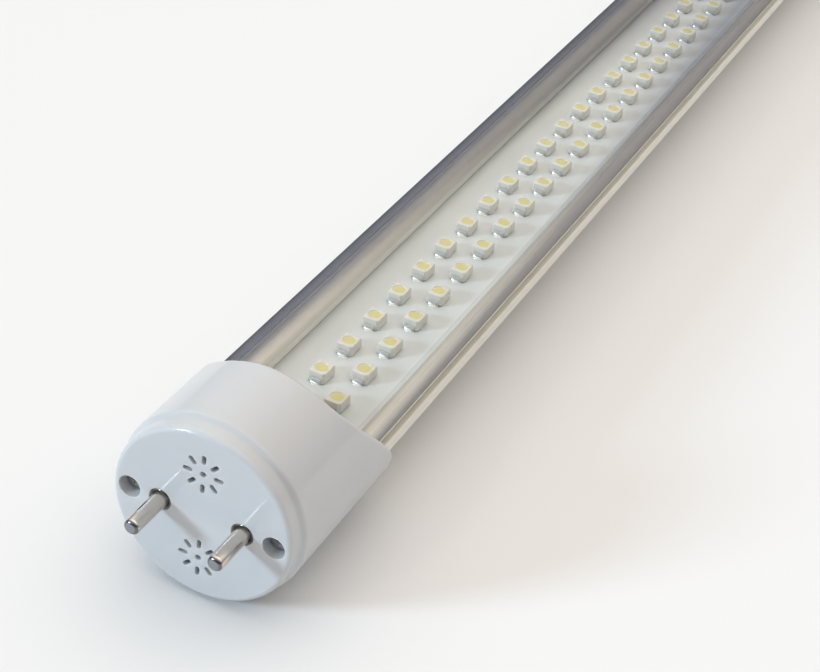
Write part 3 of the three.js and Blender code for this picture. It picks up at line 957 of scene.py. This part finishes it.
# ---- putting it together ------------------------------------------------------------------
# the cover's tint from face on, 0, to edge on, 1. Its dark outer part stands for the total
# reflection inside the wall and its feet.
OUTSIDE_TINT = [
    (0.0, (0.98, 0.978, 0.97)), (0.51, (0.955, 0.95, 0.94)), (0.56, (0.74, 0.74, 0.76)),
    (0.61, (0.48, 0.485, 0.53)), (0.8, (0.40, 0.405, 0.44)), (0.92, (0.27, 0.285, 0.32)),
    (1.0, (0.24, 0.255, 0.29)),
]
INSIDE_TINT = [
    (0.0, (0.985, 0.983, 0.978)), (0.7, (0.97, 0.965, 0.96)), (1.0, (0.85, 0.85, 0.86)),
]


def make_ends():
    plastic = white_plastic()
    nickel = satin_nickel()
    steel = brushed("zinc_steel", light=(0.60, 0.59, 0.59), dark=(0.45, 0.45, 0.46),
                    low=0.32, high=0.48, lines=5000.0)
    for end, turned in (("front", False), ("rear", True)):
        add_end(end, turned, plastic, nickel, steel)


def make_heat_sink():
    aluminium = brushed("anodised_aluminium", light=(0.91, 0.89, 0.82), dark=(0.85, 0.83, 0.765),
                        low=0.55, high=0.68, lines=9000.0)
    shape = extrude(heat_sink_outline(), [cavity_outline()], TUBE_START, LENGTH - TUBE_START)
    place("back_extrusion", shape, [aluminium], ["heat_sink"], sharp=40)


def make_cover():
    outside = clear_plastic("clear_plastic", OUTSIDE_TINT, gloss_low=0.03, gloss_high=0.05)
    inside = clear_plastic("clear_plastic_inside", INSIDE_TINT, gloss_low=0.02, gloss_high=0.04)
    place("light_cover", cover_shape(TUBE_START, LENGTH - TUBE_START), [outside, inside],
          ["clear_cover"], sharp=40)


def make_board():
    place("light_board", board_shape(), [board_mask()], ["led_board"], sharp=20)


def make_leds():
    yellow = phosphor("phosphor", dark=(0.58, 0.515, 0.15), light=(0.65, 0.59, 0.235))
    pale = phosphor("phosphor_rim", dark=(0.65, 0.61, 0.40), light=(0.69, 0.66, 0.47))
    led_looks = [led_housing(), yellow, tinned(), pale]
    last = FIRST_LED + (LEDS_PER_ROW - 1) * LED_PITCH
    for side, first, x, seed in (("left", FIRST_LED, -LED_X, 3), ("right", LENGTH - last, LED_X, 7)):
        place(f"packages_{side}", led_row(first, x, seed), led_looks,
              [f"led_row_{side}"])


# material: its CAD nodes, its colour and its roughness
CAD_LOOKS = {
    "thermal_pad": (("thermal_pad",), (0.45, 0.47, 0.48), 0.85),
    "driver_laminate": (("driver_board",), (0.05, 0.2, 0.1), 0.45),
    "insulating_film": (("driver_sleeve",), (0.75, 0.45, 0.1), 0.3),
    "black_epoxy": (("bridge_rectifier", "driver_chip", "output_diode"), (0.02, 0.02, 0.022), 0.5),
    "blue_epoxy": (("varistor",), (0.04, 0.12, 0.45), 0.35),
    "ferrite": (("input_choke", "transformer_core"), (0.05, 0.05, 0.055), 0.6),
    "winding_tape": (("film_capacitor", "transformer_winding"), (0.75, 0.55, 0.06), 0.45),
    "resistor_paint": (("fuse_resistor",), (0.25, 0.29, 0.31), 0.5),
    "capacitor_sleeve": (("input_capacitor", "output_capacitor"), (0.02, 0.04, 0.1), 0.35),
    "red_insulation": (("live_wire", "positive_wire"), (0.5, 0.03, 0.02), 0.45),
    "blue_insulation": (("neutral_wire",), (0.03, 0.12, 0.42), 0.45),
    "black_insulation": (("negative_wire", "rear_link_wire"), (0.02, 0.02, 0.02), 0.45),
}


def dress_cad_nodes():
    for slot, (nodes, color, roughness) in CAD_LOOKS.items():
        material = plain_look(slot, color, roughness)
        for name in nodes:
            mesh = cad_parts[name].data
            mesh.materials.clear()
            mesh.materials.append(material)


# ---- stage, light and camera --------------------------------------------------------------
def make_floor():
    """A square of plain pale paper, 40 metres wide, with the tube in its middle."""
    half = 20.0
    mesh = bpy.data.meshes.new("floor")
    corners = [(-half, -half, 0), (half, -half, 0), (half, half, 0), (-half, half, 0)]
    mesh.from_pydata(corners, [], [(0, 1, 2, 3)])
    floor = bpy.data.objects.new("floor", mesh)
    bpy.context.scene.collection.objects.link(floor)
    look = Look("floor_paper", (0.77, 0.765, 0.765), 0.6)
    look.normal(look.bump(look.noise(900.0), 0.05, 0.0001))
    mesh.materials.append(look.material)


def make_light(name, toward, energy, spread, color):
    """Light from one direction, its shadows softened by its spread in degrees."""
    data = bpy.data.lights.new(name, "SUN")
    data.energy = energy
    data.angle = math.radians(spread)
    data.color = color
    light = bpy.data.objects.new(name, data)
    light.rotation_euler = Vector(toward).to_track_quat("Z", "Y").to_euler()
    bpy.context.scene.collection.objects.link(light)


def make_lights():
    """Cool daylight from a window at the front left, and a small warm lamp above."""
    make_light("window", toward=(-0.644, -0.683, 0.36), energy=2.25, spread=12,
               color=(0.64, 0.84, 1.0))
    make_light("lamp", toward=(-0.31, -0.76, 0.57), energy=0.16, spread=3,
               color=(1.0, 0.88, 0.72))


def overhead_glow(tree):
    """A colour for each direction: warm white overhead, which fades to a dim room with no edges."""
    brightest = Vector((0.03, 0.30, 0.95)).normalized()
    toward = tree.nodes.new("ShaderNodeVectorMath")
    toward.operation = "DOT_PRODUCT"
    toward.inputs[1].default_value = brightest
    tree.links.new(tree.nodes.new("ShaderNodeTexCoord").outputs["Generated"], toward.inputs[0])
    ramp = tree.nodes.new("ShaderNodeValToRGB")
    tree.links.new(toward.outputs["Value"], ramp.inputs["Fac"])
    ramp.color_ramp.interpolation = "B_SPLINE"
    stops = ramp.color_ramp.elements
    stops[0].position, stops[0].color = 0.0, (0.05, 0.065, 0.09, 1)
    stops[1].position, stops[1].color = 1.0, (1.0, 0.94, 0.87, 1)
    middle = stops.new(0.45)
    middle.color = (0.13, 0.14, 0.15, 1)
    return ramp.outputs["Color"]


def make_sky():
    """The room's light. Past the floor's far edge a view meets a pale backdrop, which lights nothing."""
    world = bpy.data.worlds.new("studio")
    world.use_nodes = True
    tree = world.node_tree
    room = tree.nodes["Background"]
    tree.links.new(overhead_glow(tree), room.inputs["Color"])
    room.inputs["Strength"].default_value = 2.05
    backdrop = tree.nodes.new("ShaderNodeBackground")
    backdrop.inputs["Color"].default_value = (0.90, 0.90, 0.89, 1)
    seen = tree.nodes.new("ShaderNodeMixShader")
    tree.links.new(tree.nodes.new("ShaderNodeLightPath").outputs["Is Camera Ray"], seen.inputs[0])
    tree.links.new(room.outputs["Background"], seen.inputs[1])
    tree.links.new(backdrop.outputs["Background"], seen.inputs[2])
    tree.links.new(seen.outputs["Shader"], tree.nodes["World Output"].inputs["Surface"])
    bpy.context.scene.world = world


# angles in degrees, the distance and the target in millimetres in the tube's own frame
CAMERA_AZIMUTH = 22.19
CAMERA_ELEVATION = 34.73
CAMERA_ROLL = 7.78
CAMERA_DISTANCE = 284.4
CAMERA_TARGET = (4.2, 53.7, 0.0)
CAMERA_LENS = 81.46


def make_camera():
    """Looks at the tube from in front, above and a little to the right."""
    azimuth, elevation = math.radians(CAMERA_AZIMUTH), math.radians(CAMERA_ELEVATION)
    back = Vector((math.sin(azimuth) * math.cos(elevation),
                   -math.cos(azimuth) * math.cos(elevation), math.sin(elevation)))
    target = Vector((CAMERA_TARGET[0], CAMERA_TARGET[1] - LENGTH / 2, CAMERA_TARGET[2])) * MM
    target.z += AXIS_Z
    data = bpy.data.cameras.new("camera")
    data.sensor_width = 36.0
    data.lens = CAMERA_LENS
    data.clip_start = 0.01
    camera = bpy.data.objects.new("camera", data)
    aim = (-back).to_track_quat("-Z", "Y").to_matrix().to_4x4()
    roll = Matrix.Rotation(math.radians(CAMERA_ROLL), 4, "Z")
    camera.matrix_world = Matrix.Translation(target + back * CAMERA_DISTANCE * MM) @ aim @ roll
    bpy.context.scene.collection.objects.link(camera)
    bpy.context.scene.camera = camera


make_camera()
make_ends()
make_heat_sink()
make_cover()
make_board()
make_leds()
dress_cad_nodes()
make_floor()
make_lights()
make_sky()
bpy.context.scene.view_settings.view_transform = "Standard"
